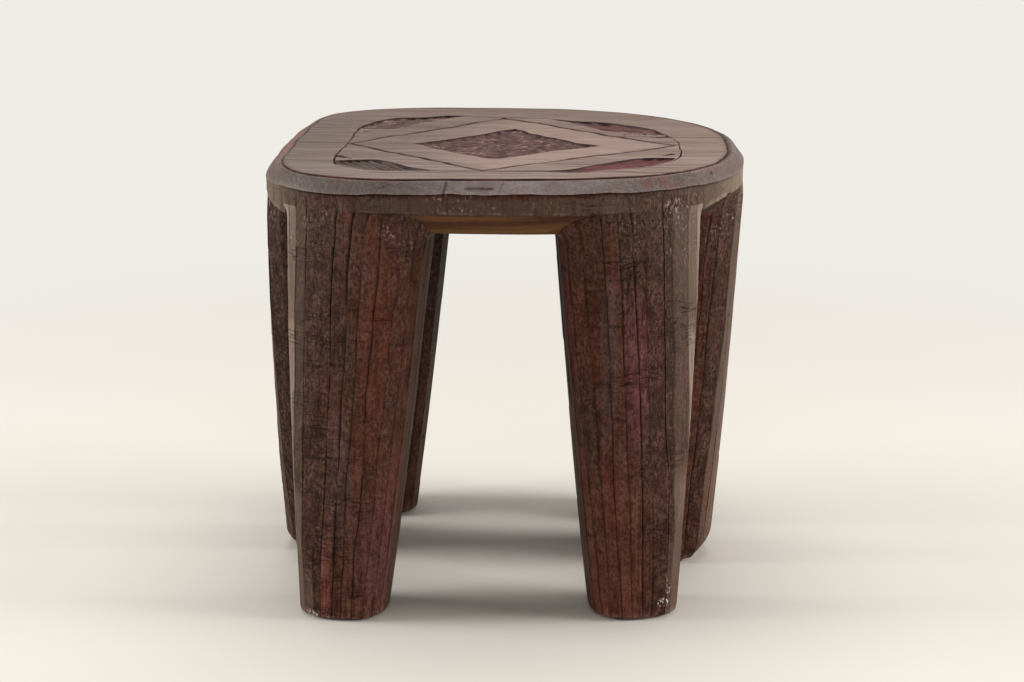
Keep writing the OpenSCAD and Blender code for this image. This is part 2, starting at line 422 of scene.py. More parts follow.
def grain_values(tree, given):
    red = pattern(tree, (5.5, 150, 150), 2, 0.5, 0.4)
    streak = ((red - given["Streak Edge"]) * 9).clipped()
    return {"Red Streak": streak, **spans(tree, {
        "Fine": (0.35, 0.65, (22, 800, 800), 3, 0.6),
        "Middle": (0.38, 0.62, (7, 230, 230), 2),
        "Broad": (0.36, 0.64, (3.5, 60, 60), 4, 0.6),
    })}


def patch_values(tree, given):
    grit = pattern(tree, (520, 520, 380), 3, 0.7)
    where = pattern(tree, (36, 36, 36), 2)
    fleck = ((grit - 0.6) * 14).clipped() * ((where - 0.62 + given["Fleck Share"] * 0.2) * 8).clipped()
    return {"Fleck": fleck, "Grit": grit.between(0.38, 0.62), **spans(tree, {
        "Large": (0.38, 0.62, (17, 17, 10), 4, 0.62),
        "Upright": (0.42, 0.62, (62, 62, 13), 4, 0.6, 0.6),
        "Small": (0.36, 0.64, (130, 130, 80), 5, 0.75),
        "Scored": (0.4, 0.6, (480, 480, 16), 3, 0.6),
        "Purple": (0.53, 0.64, (32, 32, 9), 3, 0.6, 0.8),
    })}


def check_values(tree, given):
    """Short level checks and scratches, as where the grain has opened."""
    crack = ((pattern(tree, (35, 35, 330), 2) - 0.5).away() * -40 + 1).clipped()
    return {"Check": crack * pattern(tree, (22, 22, 40), 1).between(0.52, 0.64) * given["Amount"]}


def place_values(tree, given):
    here = add_node(tree, "ShaderNodeTexCoord").outputs["Object"]
    here = add_node(tree, "ShaderNodeSeparateXYZ", Vector=here)
    return {axis: Reckon(tree, socket) for axis, socket in zip(("Right", "Back", "Up"), here.outputs)}


def spot_values(tree, given):
    """One patch with soft edges, round a place in metres."""
    here, away = place_values(tree, given), 0
    for axis, reach in (("Right", given["Wide"]), ("Back", 0.035), ("Up", given["High"])):
        off = (here[axis] - given[axis]) / reach
        away = off * off + away
    return {"Spot": ((1 - away) * 1.6).clipped()}


above_floor = effect("above_floor", {}, place_values)
one_spot = effect("one_spot", dict.fromkeys(["Right", "Back", "Up", "Wide", "High"], 0.01), spot_values)
level_grain = effect("level_grain", {"Streak Edge": 0.63}, grain_values)
old_stain = effect("old_stain", {"Fleck Share": 0.5}, patch_values)
level_checks = effect("level_checks", {"Amount": 1.0}, check_values)


def new_wood(name, roughness, shine=0.25):
    """A bare wood material, and what paints it: lay a colour on, mix two, use a group, read a mark."""
    paint = bpy.data.materials.new(name)
    paint.use_nodes = True
    tree = paint.node_tree
    shader = tree.nodes["Principled BSDF"]
    shader.inputs["Roughness"].default_value = roughness
    shader.inputs["Specular IOR Level"].default_value = shine
    colour = None

    def mixed(over, under, share):
        mix = tree.nodes.new("ShaderNodeMix")
        mix.data_type = "RGBA"
        for socket, value in ((mix.inputs[0], share), (mix.inputs[6], under), (mix.inputs[7], over)):
            value = stain(value) if isinstance(value, str) else getattr(value, "socket", value)
            if isinstance(value, bpy.types.NodeSocket):
                tree.links.new(value, socket)
            else:
                socket.default_value = value
        return mix.outputs[2]

    def lay(over, share=None):
        nonlocal colour
        colour = over if share is None else mixed(over, colour, share)

    def use(group, **inputs):
        node = tree.nodes.new("ShaderNodeGroup")
        node.node_tree = group
        for label, value in inputs.items():
            node.inputs[label.replace("_", " ")].default_value = value
        return {socket.name: Reckon(tree, socket) for socket in node.outputs}

    def mark(attribute):
        kept = add_node(tree, "ShaderNodeAttribute", {"attribute_name": attribute})
        return Reckon(tree, kept.outputs["Fac"])

    def finish(height, depth):
        tree.links.new(colour, shader.inputs["Base Color"])
        bump = add_node(tree, "ShaderNodeBump", Strength=1.0, Distance=depth, Height=height)
        tree.links.new(bump.outputs[0], shader.inputs["Normal"])
        return paint

    return lay, mixed, use, mark, finish


lay, mixed, use, mark, finish = new_wood("adzed_leg_wood", 0.5, 0.05)
grain, patch, checks = use(level_grain), use(old_stain, Fleck_Share=0.5), use(level_checks, Amount=1.0)
tone, line, bloom, up = mark("tone"), mark("line"), mark("bloom"), use(above_floor)["Up"]
high, low, foot = up.between(0.225, 0.255), 1 - up.between(0.001, 0.007), 1 - up.between(0.02, 0.15)
lay("483024")
lay("5f3623", patch["Large"])
lay("74362f", patch["Upright"] * tone.between(0.1, 0.8) * 0.8)
lay("6b3943", patch["Purple"] * tone.between(0.2, 0.7) * 0.7)
lay("6f5346", patch["Small"] * (1 - patch["Large"]) * tone * 0.7)
lay("8a5244", foot * patch["Small"] * 0.6)
lay("28160f", (1 - tone.between(0.0, 0.6)) * 0.55)
# Painted shade on facets that face partly sideways and on the legs given a Shade
lay("1f0f08", mark("dim"))


def spotted(right, back, up, wide, high):
    """One soft spot on this wood: its place, half width and half height, in mm."""
    spot = use(one_spot, Right=right * mm, Back=back * mm, Up=up * mm, Wide=wide * mm, High=high * mm)
    return spot["Spot"]


# Patches of stain and wear where they show most, and in the last two rows painted shadow on the legs' tops
# just under the rim: right, back and up in mm, half width, half height
for code, strength, right, back, above, wide, tall in (
        ("733a48", 0.65, 90, -150, 165, 11, 68), ("665659", 0.6, 73, -150, 178, 7, 62),
        ("5f4c50", 0.6, -100, -150, 95, 9, 55), ("6c3a45", 0.55, -78, -150, 50, 16, 45),
        ("170d0a", 0.8, -92.5, -150, 20.7, 7, 7), ("170d0a", 0.8, 129.9, -30, 51.2, 3, 4),
        ("170d0a", 0.7, 132.9, -30, 38.2, 2.5, 3), ("1b110d", 0.8, -60, -150, 268, 18, 5),
        ("1b110d", 0.8, 60, -150, 267, 28, 5)):
    spot = spotted(right, back, above, wide, tall)
    lay(code, spot * (0.4 + patch["Small"] * 0.6) * strength)

lay("170c08", (1 - patch["Grit"]) * 0.4)
lay("1b0f0b", (1 - patch["Scored"]) * 0.35 + (1 - grain["Fine"]) * 0.12)
lay("795849", patch["Grit"] * patch["Small"] * 0.5)
lay("54443a", high * patch["Grit"] * 0.35)
# Grey bloom, and painted side light, on the facets that face sideways
lay("54463b", bloom.clipped() * (0.65 + patch["Scored"] * 0.2))
# Painted highlight on the facets that face furthest sideways, above the foot
side_highlight = bloom.between(0.9, 1.4) * up.between(0.06, 0.15)
lay("877568", side_highlight * (0.55 + patch["Scored"] * 0.4))
lay("946f68", low * patch["Small"] * 0.7)
lay("140b08", checks["Check"] * 0.8)
lay("a8908a", patch["Fleck"] * high * 0.65)
for code, right, above, wide, tall in (
        ("d8ccc3", -119.5, 3.5, 5, 3), ("b09a90", -106, 2.0, 11, 2.5), ("d8ccc3", 109.5, 11, 4.5, 3.5),
        ("b09a90", 112, 22, 2, 10), ("8f7573", -66, 259, 9, 6), ("917f7b", 112, 271, 8, 7)):
    lay(code, spotted(right, -140, above, wide, tall) * (patch["Grit"] * 3 - 1.8).clipped() * 0.9)
lay("120906", line.clipped() * 0.95)
height = patch["Scored"] * 0.2 + patch["Small"] * 0.4 + patch["Grit"] * 0.3 - checks["Check"] * 0.5
leg_wood = finish(height, 0.5 * mm)

# Each leg, in degrees: where its outer face meets the rim and which way that face looks, how far
# it leans right and backwards on its way down, and the further turn of its foot. Then how many
# times the trim and the belly it has, the bend of its lean, how grey its sideways facets have gone
# with painted side light on them and from which turn outwards on, how much painted shade it has,
# and how much more its foot has worn on the outside.
leg_columns = ["At Rim", "Facing", "Lean X", "Lean Y", "Foot Turn", "Trim", "Belly", "Bend", "Greying And Side Light",
               "Grey From", "Shade", "Outer Wear"]
leg_rows = {
    "front_left_leg": (-121, -96, -2.8, -3.2, -6, 1, 1, 1, 1.0, 0.52, 0, 0),
    "front_right_leg": (-58.4, -82, 1.3, -2.5, 8, 1, 1, 1, 1.2, 0.59, 0, 0),
    "left_leg": (187, 180, -1.9, 8, 10, 1, 4, 2, 0.55, 0.8, 0.9, 1.5),
    "right_leg": (-2, 0, -1.7, 2.1, -12, 0.25, 1, 1, 0.6, 0.72, 0, 3),
    "back_left_leg": (122, 95, -2.5, -3.6, 0, 1, 1, 1, 0.3, 0.7, 0.35, 0),
    "back_right_leg": (59, 80, 2.1, -1.3, 0, 1, 1, 1, 0.6, 0.7, 0.1, 0),
}
angle_columns, leg_trim, leg_belly, first_seed, rim_gap = 5, 4.0, 1.5, 3.0, 1.3
leg_tree = adzed_leg_tree()
rim_marks = []

for number, (leg_name, row) in enumerate(leg_rows.items()):
    own = dict(zip(leg_columns, map(float, row)))
    for label in leg_columns[:angle_columns]:
        own[label] = math.radians(own[label])
    looks = np.array([math.cos(own["Facing"]), math.sin(own["Facing"])])
    top = rim_point(own["At Rim"]) - (leg_sizes["Top Thickness"] / mm / 2 - leg_trim * own["Trim"]) * looks
    leg = worked(leg_tree, "adzed_" + leg_name, {
        **own, "Top X": top[0] * mm, "Top Y": top[1] * mm, "Belly": leg_belly * own["Belly"] * mm,
        "Lean X": band_bottom * mm * math.tan(own["Lean X"]),
        "Lean Y": band_bottom * mm * math.tan(own["Lean Y"]), "Seed": first_seed + number, "Wood": leg_wood})
    leg.data.set_sharp_from_angle(angle=math.radians(32))
    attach(leg, "root")
    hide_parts(leg_name)

    # What shows at the top of the leg's outer face is carried on up the rim of the seat
    count = len(leg.data.vertices)
    marks = {name: np.zeros(count, np.float32) for name in ("line", "tone", "share", "from_axis")}
    for name, values in marks.items():
        leg.data.attributes[name].data.foreach_get("value", values)
    points = np.zeros(count * 3, np.float32)
    leg.data.vertices.foreach_get("co", points)
    points = points.reshape(-1, 3) / mm
    turns = np.arctan2(points[:, 1] / seat_d, points[:, 0] / seat_w) % (2 * math.pi)
    gap = np.hypot(*(rim_point(turns) - points[:, :2]).T)
    outer = (marks["share"] > 0.999) & (marks["from_axis"] > 0.98) & (gap < rim_gap)
    rim_marks.append(np.stack([turns, marks["tone"], marks["line"], gap], -1)[outer])


# The seat: the top of the block, trimmed by eye to a squarish round and worn smooth by sitting.
# Its edge is bevelled with adze cuts. The carving is cut with a knife and a small gouge, and its
# sunk parts keep the marks of the tool and dark stain.
around = 960
turn = (np.arange(around) + 0.5) * 2 * math.pi / around


def softened(values, reach):
    """Values round the seat, each mixed with its neighbours."""
    window = np.hanning(2 * reach + 3)[1:-1]
    closed = np.concatenate([values[-reach:], values, values[:reach]])
    return np.convolve(closed, window / window.sum(), "valid")


def round_table(places, smooth=9):
    """Values given at a few angles, in degrees from the right, run smoothly round the seat."""
    angles, values = np.array(sorted(places.items())).T
    return softened(np.interp(np.degrees(turn), angles, values, period=360), smooth)


def round_drift(low, high, seed):
    """A wobble of about -1 to 1 that closes on itself round the seat."""
    dice = np.random.default_rng(seed)
    total = sum(dice.normal() / k ** 0.5 * np.sin(k * turn + dice.uniform(0, 2 * math.pi))
                for k in range(low, high + 1))
    return total / (2 * total.std())


def round_cuts(count, seed):
    """Cuts of uneven width round the seat: how far across its cut each column is, and its chance."""
    dice = np.random.default_rng(seed)
    borders = np.cumsum(dice.uniform(0.5, 1.5, count))
    borders *= 2 * math.pi / borders[-1]
    which = np.searchsorted(borders, turn)
    starts = np.concatenate([[0], borders[:-1]])
    return (turn - starts[which]) / (borders[which] - starts[which]), dice.random(count)[which]


# Round the edge, by angle: how far in the edge line is, and half its width
line_in = round_table({
    4: 11.5, 20: 10, 35: 7.5, 60: 5.5, 120: 3.5, 138: 4, 146: 9, 153: 13.5, 167: 15.5, 182: 14.5, 198: 14.5,
    213: 9, 222: 6.5, 228: 6, 238: 7, 248: 9, 258: 14, 274: 16, 287: 16.5, 300: 14, 312: 10, 324: 8, 333: 8,
    346: 9.5, 354: 11})
line_half = round_table({4: 1.6, 20: 1.2, 35: 0.9, 60: 0.8, 90: 0.7, 198: 0.7, 207: 0.8, 300: 0.8, 324: 1.0,
                         333: 1.2, 346: 1.6, 354: 1.7})

# The lip outside that line, and the bevel: its roundness, the height of its foot and how far its
# foot overhangs the rim band
lip = round_table({4: 2.6, 20: 2.4, 35: 1.5, 60: 0.6, 120: 0.3, 287: 0.3, 312: 0.5, 324: 1.2, 333: 2.0,
                   346: 2.8})
roundness = round_table({20: 1.3, 60: 1.5, 120: 1.8, 138: 1.8, 153: 1.9, 167: 2.0, 182: 2.0, 207: 1.8,
                         222: 1.4, 238: 1.1, 324: 1.1, 346: 1.3})
bevel_foot = round_table({20: 282, 60: 283, 90: 284, 120: 284.5, 138: 284, 146: 282, 153: 281, 167: 280,
                          207: 280, 222: 281.5, 228: 282, 238: 282, 248: 283.5, 258: 284, 274: 284.5,
                          300: 284.5, 312: 283.5, 324: 283, 333: 282})
overhang = round_table({90: 0.2, 138: 0, 213: 0, 222: 0.1, 228: 0.9, 238: 1, 248: 0.7, 258: 0.6, 274: 0.6,
                        300: 0.8, 324: 0.7, 333: 0.4, 346: 0.2})
line_in = line_in + 0.5 * round_drift(5, 40, 1)
bevel_in = line_in - line_half - lip

bevel_cuts, rim_cuts = 26, 64
across_bevel, bevel_chance = round_cuts(bevel_cuts, 7)
scallop = 4 * across_bevel * (1 - across_bevel)
bevel_foot = bevel_foot + softened(bevel_chance - 0.5 - 0.8 * scallop, 6) + 0.15 * round_drift(20, 90, 2)

# Where the legs run up into the rim, their lines and tones go on over it. Elsewhere the rim is a
# plain band with upright cuts of its own
over_legs = np.zeros(around)
leg_tone, leg_line, leg_gap = np.full(around, 0.5), np.zeros(around), np.full(around, 0.3)
for marks_at_rim in rim_marks:
    middle = math.atan2(np.sin(marks_at_rim[:, 0]).mean(), np.cos(marks_at_rim[:, 0]).mean())
    offsets = (marks_at_rim[:, 0] - middle + math.pi) % (2 * math.pi) - math.pi
    order = np.argsort(offsets)
    offsets = offsets[order]
    own = (turn - middle + math.pi) % (2 * math.pi) - math.pi
    soft = math.radians(3)
    cover = np.clip((own - offsets[0]) / soft + 0.4, 0, 1) * np.clip((offsets[-1] - own) / soft + 0.4, 0, 1)
    over_legs = np.maximum(over_legs, cover)
    inside = (own > offsets[0]) & (own < offsets[-1])
    nearest = np.abs(own[:, None] - offsets[None, :]).argmin(1)
    leg_tone[inside] = marks_at_rim[order, 1][nearest[inside]]
    leg_gap[inside] = np.interp(own[inside], offsets, marks_at_rim[order, 3])
    for offset_here, strength in zip(offsets, marks_at_rim[order, 2]):
        spot = np.abs(own - offset_here).argmin()
        leg_line[spot] = max(leg_line[spot], strength)
front_edge = round_table({234: 0, 248: 1, 292: 1, 307: 0})
proud = over_legs * front_edge
over_legs = over_legs - proud
band = 1 - over_legs
band_foot = round_table({200: 270, 208: 269, 214: 267, 220: 264.5, 226: 262.5, 232: 270, 310: 270, 316: 262.5,
                         320: 264.5, 324: 267.5, 332: 270}, smooth=4)
band_foot = band_bottom + (band_foot - band_bottom) * np.clip(band * 3, 0, 1)

across_rim, rim_chance = round_cuts(rim_cuts, 11)
rim_hollow = 4 * across_rim * (1 - across_rim) * 0.25 + rim_chance * 0.35
rim_cut_line = np.clip(1 - np.minimum(across_rim, 1 - across_rim) / 0.09, 0, 1) * (rim_chance > 0.35)
rim_tone = np.where(band < 0.5, leg_tone, 0.35 + 0.3 * rim_chance)
chips = np.clip(round_drift(30, 200, 5) - 0.35, 0, 1)

edge_rings, edge_marks, edge_kinds = [], [], []


def add_ring(inset, height, kind, **marks):
    """One ring of points round the edge. The faces below it are of the given kind."""
    edge_rings.append(np.column_stack([rim_point(turn, inset), np.broadcast_to(height, around)]))
    edge_marks.append({name: np.broadcast_to(value, around) for name, value in marks.items()})
    edge_kinds.append(kind)


def cracks(share):
    """Two cracks that run down the bevel, a level one along it, and a small pit."""
    degrees = np.degrees(turn)
    marks = [1.4 * np.clip(1.3 - abs(degrees - 258.2 - 0.5 * share) / 0.3, 0, 1),
             0.6 * np.clip(1.3 - abs(degrees - 272.3 + 1.4 * share) / 0.3, 0, 1),
             np.clip(3.8 - abs(degrees - 266.5), 0, 1) * {0.54: 0.8, 0.6: 1.7, 0.66: 0.7}.get(share, 0),
             1.3 * np.clip(1.3 - abs(degrees - 326.5) / 0.45, 0, 1) * (share in (0.3, 0.45))]
    return np.max(marks, 0)


top, low_ground, bevel, side, under = 0, 1, 2, 3, 4
line_deep, scallop_deep, rim_shoulder, soft_join = 1.5, 0.35, 2.0, 0.3
bare_left = round_table({120: 0, 140: 0.6, 155: 1, 205: 1, 214: 0.3, 220: 0, 330: 0, 345: 0.25, 20: 0.3,
                         40: 0.1, 60: 0})
bare_front = round_table({245: 0, 256: 1, 286: 1, 297: 0})
front_legs = round_table({222: 0, 230: 1, 312: 1, 322: 0})
corner_bloom = round_table({120: 0, 150: 0.8, 190: 0.95, 203: 1.0, 221: 0.95, 226: 0.4, 230: 0, 312: 0,
                            322: 0.85, 332: 1.1, 350: 1.4, 25: 1.2, 50: 0})
worn_edge = 0.3 * np.clip(0.4 + round_drift(10, 60, 12), 0, 1)
worn_edge = worn_edge * np.maximum(band, corner_bloom * (1 - front_legs))
line_dark = round_table({20: 0.5, 60: 0.4, 90: 0.8, 125: 0.7, 145: 0.35, 205: 0.35, 222: 0.8, 240: 1,
                         300: 1, 325: 0.7, 350: 0.5})
line_step = round_table({20: 0.1, 200: 0.3, 222: 0.8, 240: 1.0, 300: 1.0, 320: 0.6, 335: 0.1})
add_ring(line_in + line_half, seat_top, top, line=0.25 * line_dark)
add_ring(line_in, seat_top - line_deep * line_dark - 0.3 * round_drift(8, 40, 3), bevel, line=line_dark)
add_ring(line_in - line_half, seat_top - line_step, bevel, line=0.35 * line_dark)
bevel_top = seat_top - line_step - 0.5 * np.clip(lip - 0.5, 0, 1)
add_ring(line_in - line_half - lip * 0.5, seat_top - line_step, bevel, rub=0.4)
add_ring(bevel_in, bevel_top, bevel, rub=0.5)
for share in (0.15, 0.3, 0.45, 0.54, 0.6, 0.66, 0.8, 1.0):
    uneven = 0.25 * round_drift(60, 300, int(share * 10)) + 0.5 * cracks(share)
    dent = (share < 1) * (scallop_deep * scallop * math.sin(math.pi * share) + uneven)
    add_ring(np.maximum(bevel_in * (1 - share) + dent, 0),
             bevel_top - (bevel_top - bevel_foot) * share ** roundness - 0.1 * np.abs(dent),
             bevel if share < 1 else side, tone=bevel_chance, rub=(share == 1.0) * 0.3,
             bare=bare_left * np.interp(share, (0.15, 0.3, 0.5, 1.0), (1, 0.8, 0.2, 0)), bloom=corner_bloom,
             line=cracks(share))
carved_rim = ((rim_hollow + 0.2) * band + leg_gap * (1 - band)) * (1 - proud) + 0.1 * proud
plain_edge = 1 - np.clip(overhang * 2, 0, 1)
rim_top = bevel_foot - rim_shoulder
# Painted shade carried up the rim over the legs, to match the legs below
painted_shade_over_legs = 0.55 * over_legs
# Where the bevel's foot overhangs the band, a dark line is painted just under it as its shadow.
add_ring(np.maximum(overhang, 0.35 * carved_rim * plain_edge), bevel_foot - 0.7, side, line=overhang * 1.2,
         tone=rim_tone, bloom=corner_bloom)
add_ring(np.maximum(overhang * 0.55, 0.7 * carved_rim * plain_edge), rim_top, side, line=0.2 * overhang,
         tone=rim_tone, bloom=corner_bloom, dim=painted_shade_over_legs)
rim_lines = np.maximum(leg_line * (1 - band), rim_cut_line * band * 0.6)
rim_bloom = 0.85 * (band + 0.5 * proud).clip(0, 1)
for share in (0.25, 0.5, 0.75, 0.93):
    bloom = np.maximum(corner_bloom * (1 - front_legs * share), rim_bloom) + worn_edge * (share > 0.9)
    add_ring(carved_rim, rim_top - (rim_top - soft_join - band_foot) * share, side, tone=rim_tone,
             line=rim_lines * (0.3 + 0.7 * share), bloom=bloom, dim=painted_shade_over_legs)
# Where the rim stands proud of the front legs, a dark line is painted along its foot as its shadow.
add_ring(carved_rim + 0.5 * chips * band, band_foot + 0.9 * chips * band, under, tone=rim_tone,
         line=np.maximum(leg_line * (1 - band), 0.8 * proud),
         bloom=corner_bloom * (1 - front_legs) + worn_edge, bare=bare_front)
for share in (0.04, 0.25, 0.5, 0.75, 1.0):
    gouge = 0.5 * np.abs(round_drift(20, 120, 40 + int(share * 8))) * (share < 1)
    add_ring(undercut * share + carved_rim * (1 - share) + soft_join,
             band_foot - 0.1 - (band_foot - underside - 0.1) * share + gouge, under, bare=bare_front)

# The carving on top, in whole mm right and back from the middle: the ring, the two diamonds, the
# inner sides of the four sunk corners, and the small notches by the ring, each with its two ends
# and half its width
ring_points = [(-111, -57), (-109, -80), (-100, -97), (-84, -108), (-49, -110), (-13, -109), (24, -109),
               (55, -105), (82, -96), (104, -75), (114, -55), (117, -36), (116, -12), (113, 16), (107, 38),
               (96, 61), (74, 82), (48, 94), (22, 102), (-12, 109), (-41, 112), (-70, 109), (-90, 100),
               (-102, 80), (-108, 55), (-109, 27), (-109, -8)]
outer_diamond = [(113, -6), (-10, 106), (-108, -8), (-11, -106)]
inner_diamond = [(63, -9), (45, 4), (27, 23), (14, 40), (0, 60), (-26, 27), (-42, 9), (-64, -6), (-54, -20),
                 (-41, -32), (-24, -50), (-11, -60), (-2, -63), (29, -32), (46, -20)]
corner_sides = {
    "back_left": [(-39, 111), (-60, 88), (-70, 74), (-77, 60), (-83, 53), (-91, 51), (-101, 51), (-109, 53)],
    "back_right": [(107, 38), (98, 41), (86, 43), (78, 46), (67, 52), (56, 65), (46, 79), (34, 93),
                   (20, 103)],
    "front_left": [(-109, -75), (-100, -72), (-85, -72), (-74, -79), (-55, -98), (-44, -107), (-37, -110)],
    "front_right": [(27, -109), (36, -104), (46, -96), (68, -73), (80, -62), (88, -57), (97, -54),
                    (115, -53)],
}
notches = [((-109, -60), (-103, -64), 2.4), ((-105, 40), (-98, 39), 1.6), ((99, 28), (107, 34), 2.6),
           ((79, 40), (84, 41), 2.0), ((86, 40), (90, 40), 2.0), ((93, 39), (98, 39), 2.2),
           ((104, -44), (113, -36), 2.4)]
diamond_reach, sunk_deep, wall = 2.1, 2.5, 0.6


def rounded(points, step=1.4, closed=True):
    """A smooth path through points, with about one point each step."""
    points = np.array(points, float)
    last = len(points) - 1
    path = []
    for i in range(len(points) if closed else last):
        before, a, b, after = (points[(i + k) % (last + 1)] if closed else points[min(max(i + k, 0), last)]
                               for k in (-1, 0, 1, 2))
        steps = max(int(np.hypot(*(b - a)) / step), 1)
        t = (np.arange(steps) / steps)[:, None]
        path.append(0.5 * (2 * a + (b - before) * t + (2 * before - 5 * a + 4 * b - after) * t ** 2
                           + (3 * a - before - 3 * b + after) * t ** 3))
    return np.concatenate(path + ([] if closed else [points[-1:]]))


def straight(points, step=1.4, closed=True):
    """A path with sharp corners through points."""
    points = np.array(points, float)
    ends = np.roll(points, -1, 0) if closed else points[1:]
    path = [a + (b - a) * np.linspace(0, 1, max(int(np.hypot(*(b - a)) / step), 1), endpoint=False)[:, None]
            for a, b in zip(points, ends)]
    return np.concatenate(path + ([] if closed else [points[-1:]]))


def distance(points, path, closed=True):
    """How far each point is from a path, near enough."""
    starts, ends = (path, np.roll(path, -1, 0)) if closed else (path[:-1], path[1:])
    steps = np.arange(0, 1, 0.125)[:, None, None]
    beads = np.concatenate([(starts + (ends - starts) * steps).reshape(-1, 2), path])
    tree = kdtree.KDTree(len(beads))
    for number, (x, y) in enumerate(beads.tolist()):
        tree.insert((x, y, 0), number)
    tree.balance()
    return np.array([tree.find((x, y, 0))[2] for x, y in points.tolist()])


def within(points, path):
    """Whether each point is inside a closed path."""
    ends = np.roll(path, -1, 0)
    rise = np.where(ends[:, 1] == path[:, 1], 1e-9, ends[:, 1] - path[:, 1])
    inside = ((points > path.min(0)) & (points < path.max(0))).all(1)
    for chunk in np.array_split(np.flatnonzero(inside), max(inside.sum() // 4000, 1)):
        x, y = points[chunk, :1], points[chunk, 1:]
        crosses = (path[:, 1] > y) != (ends[:, 1] > y)
        at = path[:, 0] + (y - path[:, 1]) * (ends[:, 0] - path[:, 0]) / rise
        inside[chunk] = (crosses & (x < at)).sum(1) % 2 == 1
    return inside


def moved_out(path, by):
    """A closed path that runs counter-clockwise, moved outwards, or inwards where by is below 0."""
    along = np.roll(path, -1, 0) - np.roll(path, 1, 0)
    along /= np.maximum(np.hypot(*along.T)[:, None], 1e-9)
    return path + by * np.stack([along[:, 1], -along[:, 0]], -1)


def across_grain(points):
    """From 0 at the left and right ends of the top to 1 at its front and back."""
    return abs(points[:, 1]) / np.maximum(np.hypot(*points.T), 1)


def ring_reach(points):
    """Half the width of the ring's line, which the knife cut finer at its left and right ends."""
    return 0.6 + 0.85 * across_grain(points)


ring_path = rounded(ring_points)
diamond_path = straight(outer_diamond)
inside_ring = moved_out(ring_path, -ring_reach(ring_path)[:, None])
sunk_paths = {"middle": straight(inner_diamond)}
for name, side_points in corner_sides.items():
    side_path = rounded(side_points, closed=False)
    first = np.hypot(*(inside_ring - side_path[0]).T).argmin()
    last = np.hypot(*(inside_ring - side_path[-1]).T).argmin()
    arc = np.roll(inside_ring, -first, 0)[:(last - first) % len(inside_ring) + 1]
    sunk_paths[name] = np.concatenate([arc, side_path[::-1][1:-1]])


def wavy(points, seed, size=1.0, waves=6):
    """A smooth uneven surface of about -size to size."""
    dice = np.random.default_rng(seed)
    total = 0
    full_turn = 2 * math.pi
    for _ in range(waves):
        angle, length, shift = (dice.uniform(*span) for span in ((0, full_turn), (14, 60), (0, full_turn)))
        along = points @ np.array([math.cos(angle), math.sin(angle)])
        total = total + np.sin(along * full_turn / length + shift)
    return size * total / waves ** 0.5


def carve(points):
    """How much of each point is a cut line or sunk, from 0 to 1, and which sunk part it is in."""
    ring = np.clip(1 - distance(points, ring_path) / ring_reach(points), 0, 1)
    diamond = (1 - distance(points, diamond_path) / diamond_reach) * (1.1 + points[:, 1].clip(0, 50) / 50)
    lines = np.maximum(ring * (0.45 + 0.55 * across_grain(points)), diamond.clip(0, 1))
    for *ends, reach in notches:
        away = distance(points, straight(ends, closed=False), closed=False)
        tips = np.min([np.hypot(*(points - end).T) for end in ends], 0)
        lines = np.maximum(lines, np.clip(2.2 - 2.2 * away / reach, 0, 1) * np.clip(tips / 1.2, 0, 1) * 1.5)
    sunk, part = np.zeros(len(points)), np.zeros(len(points), int)
    for number, path in enumerate(sunk_paths.values(), 1):
        deep = np.clip(distance(points, path) / wall, 0, 1) * within(points, path)
        part[deep > sunk] = number
        sunk = np.maximum(sunk, deep)
    return lines, sunk, part


boundary = edge_rings[0][:, :2]
dice = np.random.default_rng(21)


def sprinkle(step, wanted):
    """Points about one step apart, a little shaken, where they are wanted."""
    rows = (np.arange(-side / 2, side / 2, step) for side in (seat_w, seat_d))
    grid = np.stack(np.meshgrid(*rows), -1).reshape(-1, 2)
    grid = grid + dice.uniform(-0.3, 0.3, grid.shape) * step
    return grid[wanted(grid)]


def in_sunk(points):
    return np.any([within(points, path) for path in sunk_paths.values()], 0)


ring_outside = moved_out(ring_path, ring_reach(ring_path)[:, None])
loops = [(path, True) for path in (boundary, ring_path, inside_ring, diamond_path, sunk_paths["middle"],
                                   ring_outside)]
for grow in (-diamond_reach, diamond_reach):
    grown = np.array(outer_diamond) * (1 + grow * math.sqrt(2) / np.max(outer_diamond, 0))
    loops.append((straight(grown), True))
loops += [(rounded(side_points, closed=False)[1:-1], False) for side_points in corner_sides.values()]
for *ends, reach in notches:
    start, end = np.array(ends)
    along = (end - start) / np.hypot(*(end - start))
    beside = reach * np.array([-along[1], along[0]])
    loops.append((straight(ends, closed=False), False))
    near, far = start + 1.5 * along, end - 1.5 * along
    sides = [start + along, near + beside, far + beside, end - along, far - beside, near - beside]
    loops.append((straight(sides), True))


def clear_of_lines(points, gap):
    return np.all([distance(points, path, closed) > gap for path, closed in loops], 0)


floor_step, plain_step, under_step = 1.1, 3.2, 7.0
floors = sprinkle(floor_step, in_sunk)
floors = floors[clear_of_lines(floors, 0.7)]
walls = np.concatenate([moved_out(path, -wall) for path in sunk_paths.values()])
walls = walls[(carve(walls)[1] > 0.93) & clear_of_lines(walls, 0.35)]
plain = sprinkle(plain_step, lambda points: within(points, boundary) & ~in_sunk(points))
plain = plain[clear_of_lines(plain, 1.2)]

loop_points, loop_edges = [], []
for path, closed in loops:
    start, count = len(loop_points), len(path)
    loop_points.extend(path)
    loop_edges += [(start + i, start + (i + 1) % count) for i in range(count if closed else count - 1)]
web_points = np.concatenate([np.array(loop_points), floors, walls, plain])


def web(points, edges, outline):
    """Triangles through points, with the given edges kept, inside an outline."""
    corners = [Vector(p) for p in points]
    found, _, triangles, origins, _, _ = geometry.delaunay_2d_cdt(corners, edges, [], 0, 1e-5)
    found = np.array([tuple(p) for p in found])
    triangles = np.array(triangles)
    kept = triangles[within(found[triangles].mean(1), outline)]
    on_outline = np.array([next((o for o in own if o < around), -1) for own in origins])
    return found, kept, on_outline, np.flatnonzero(on_outline < 0)


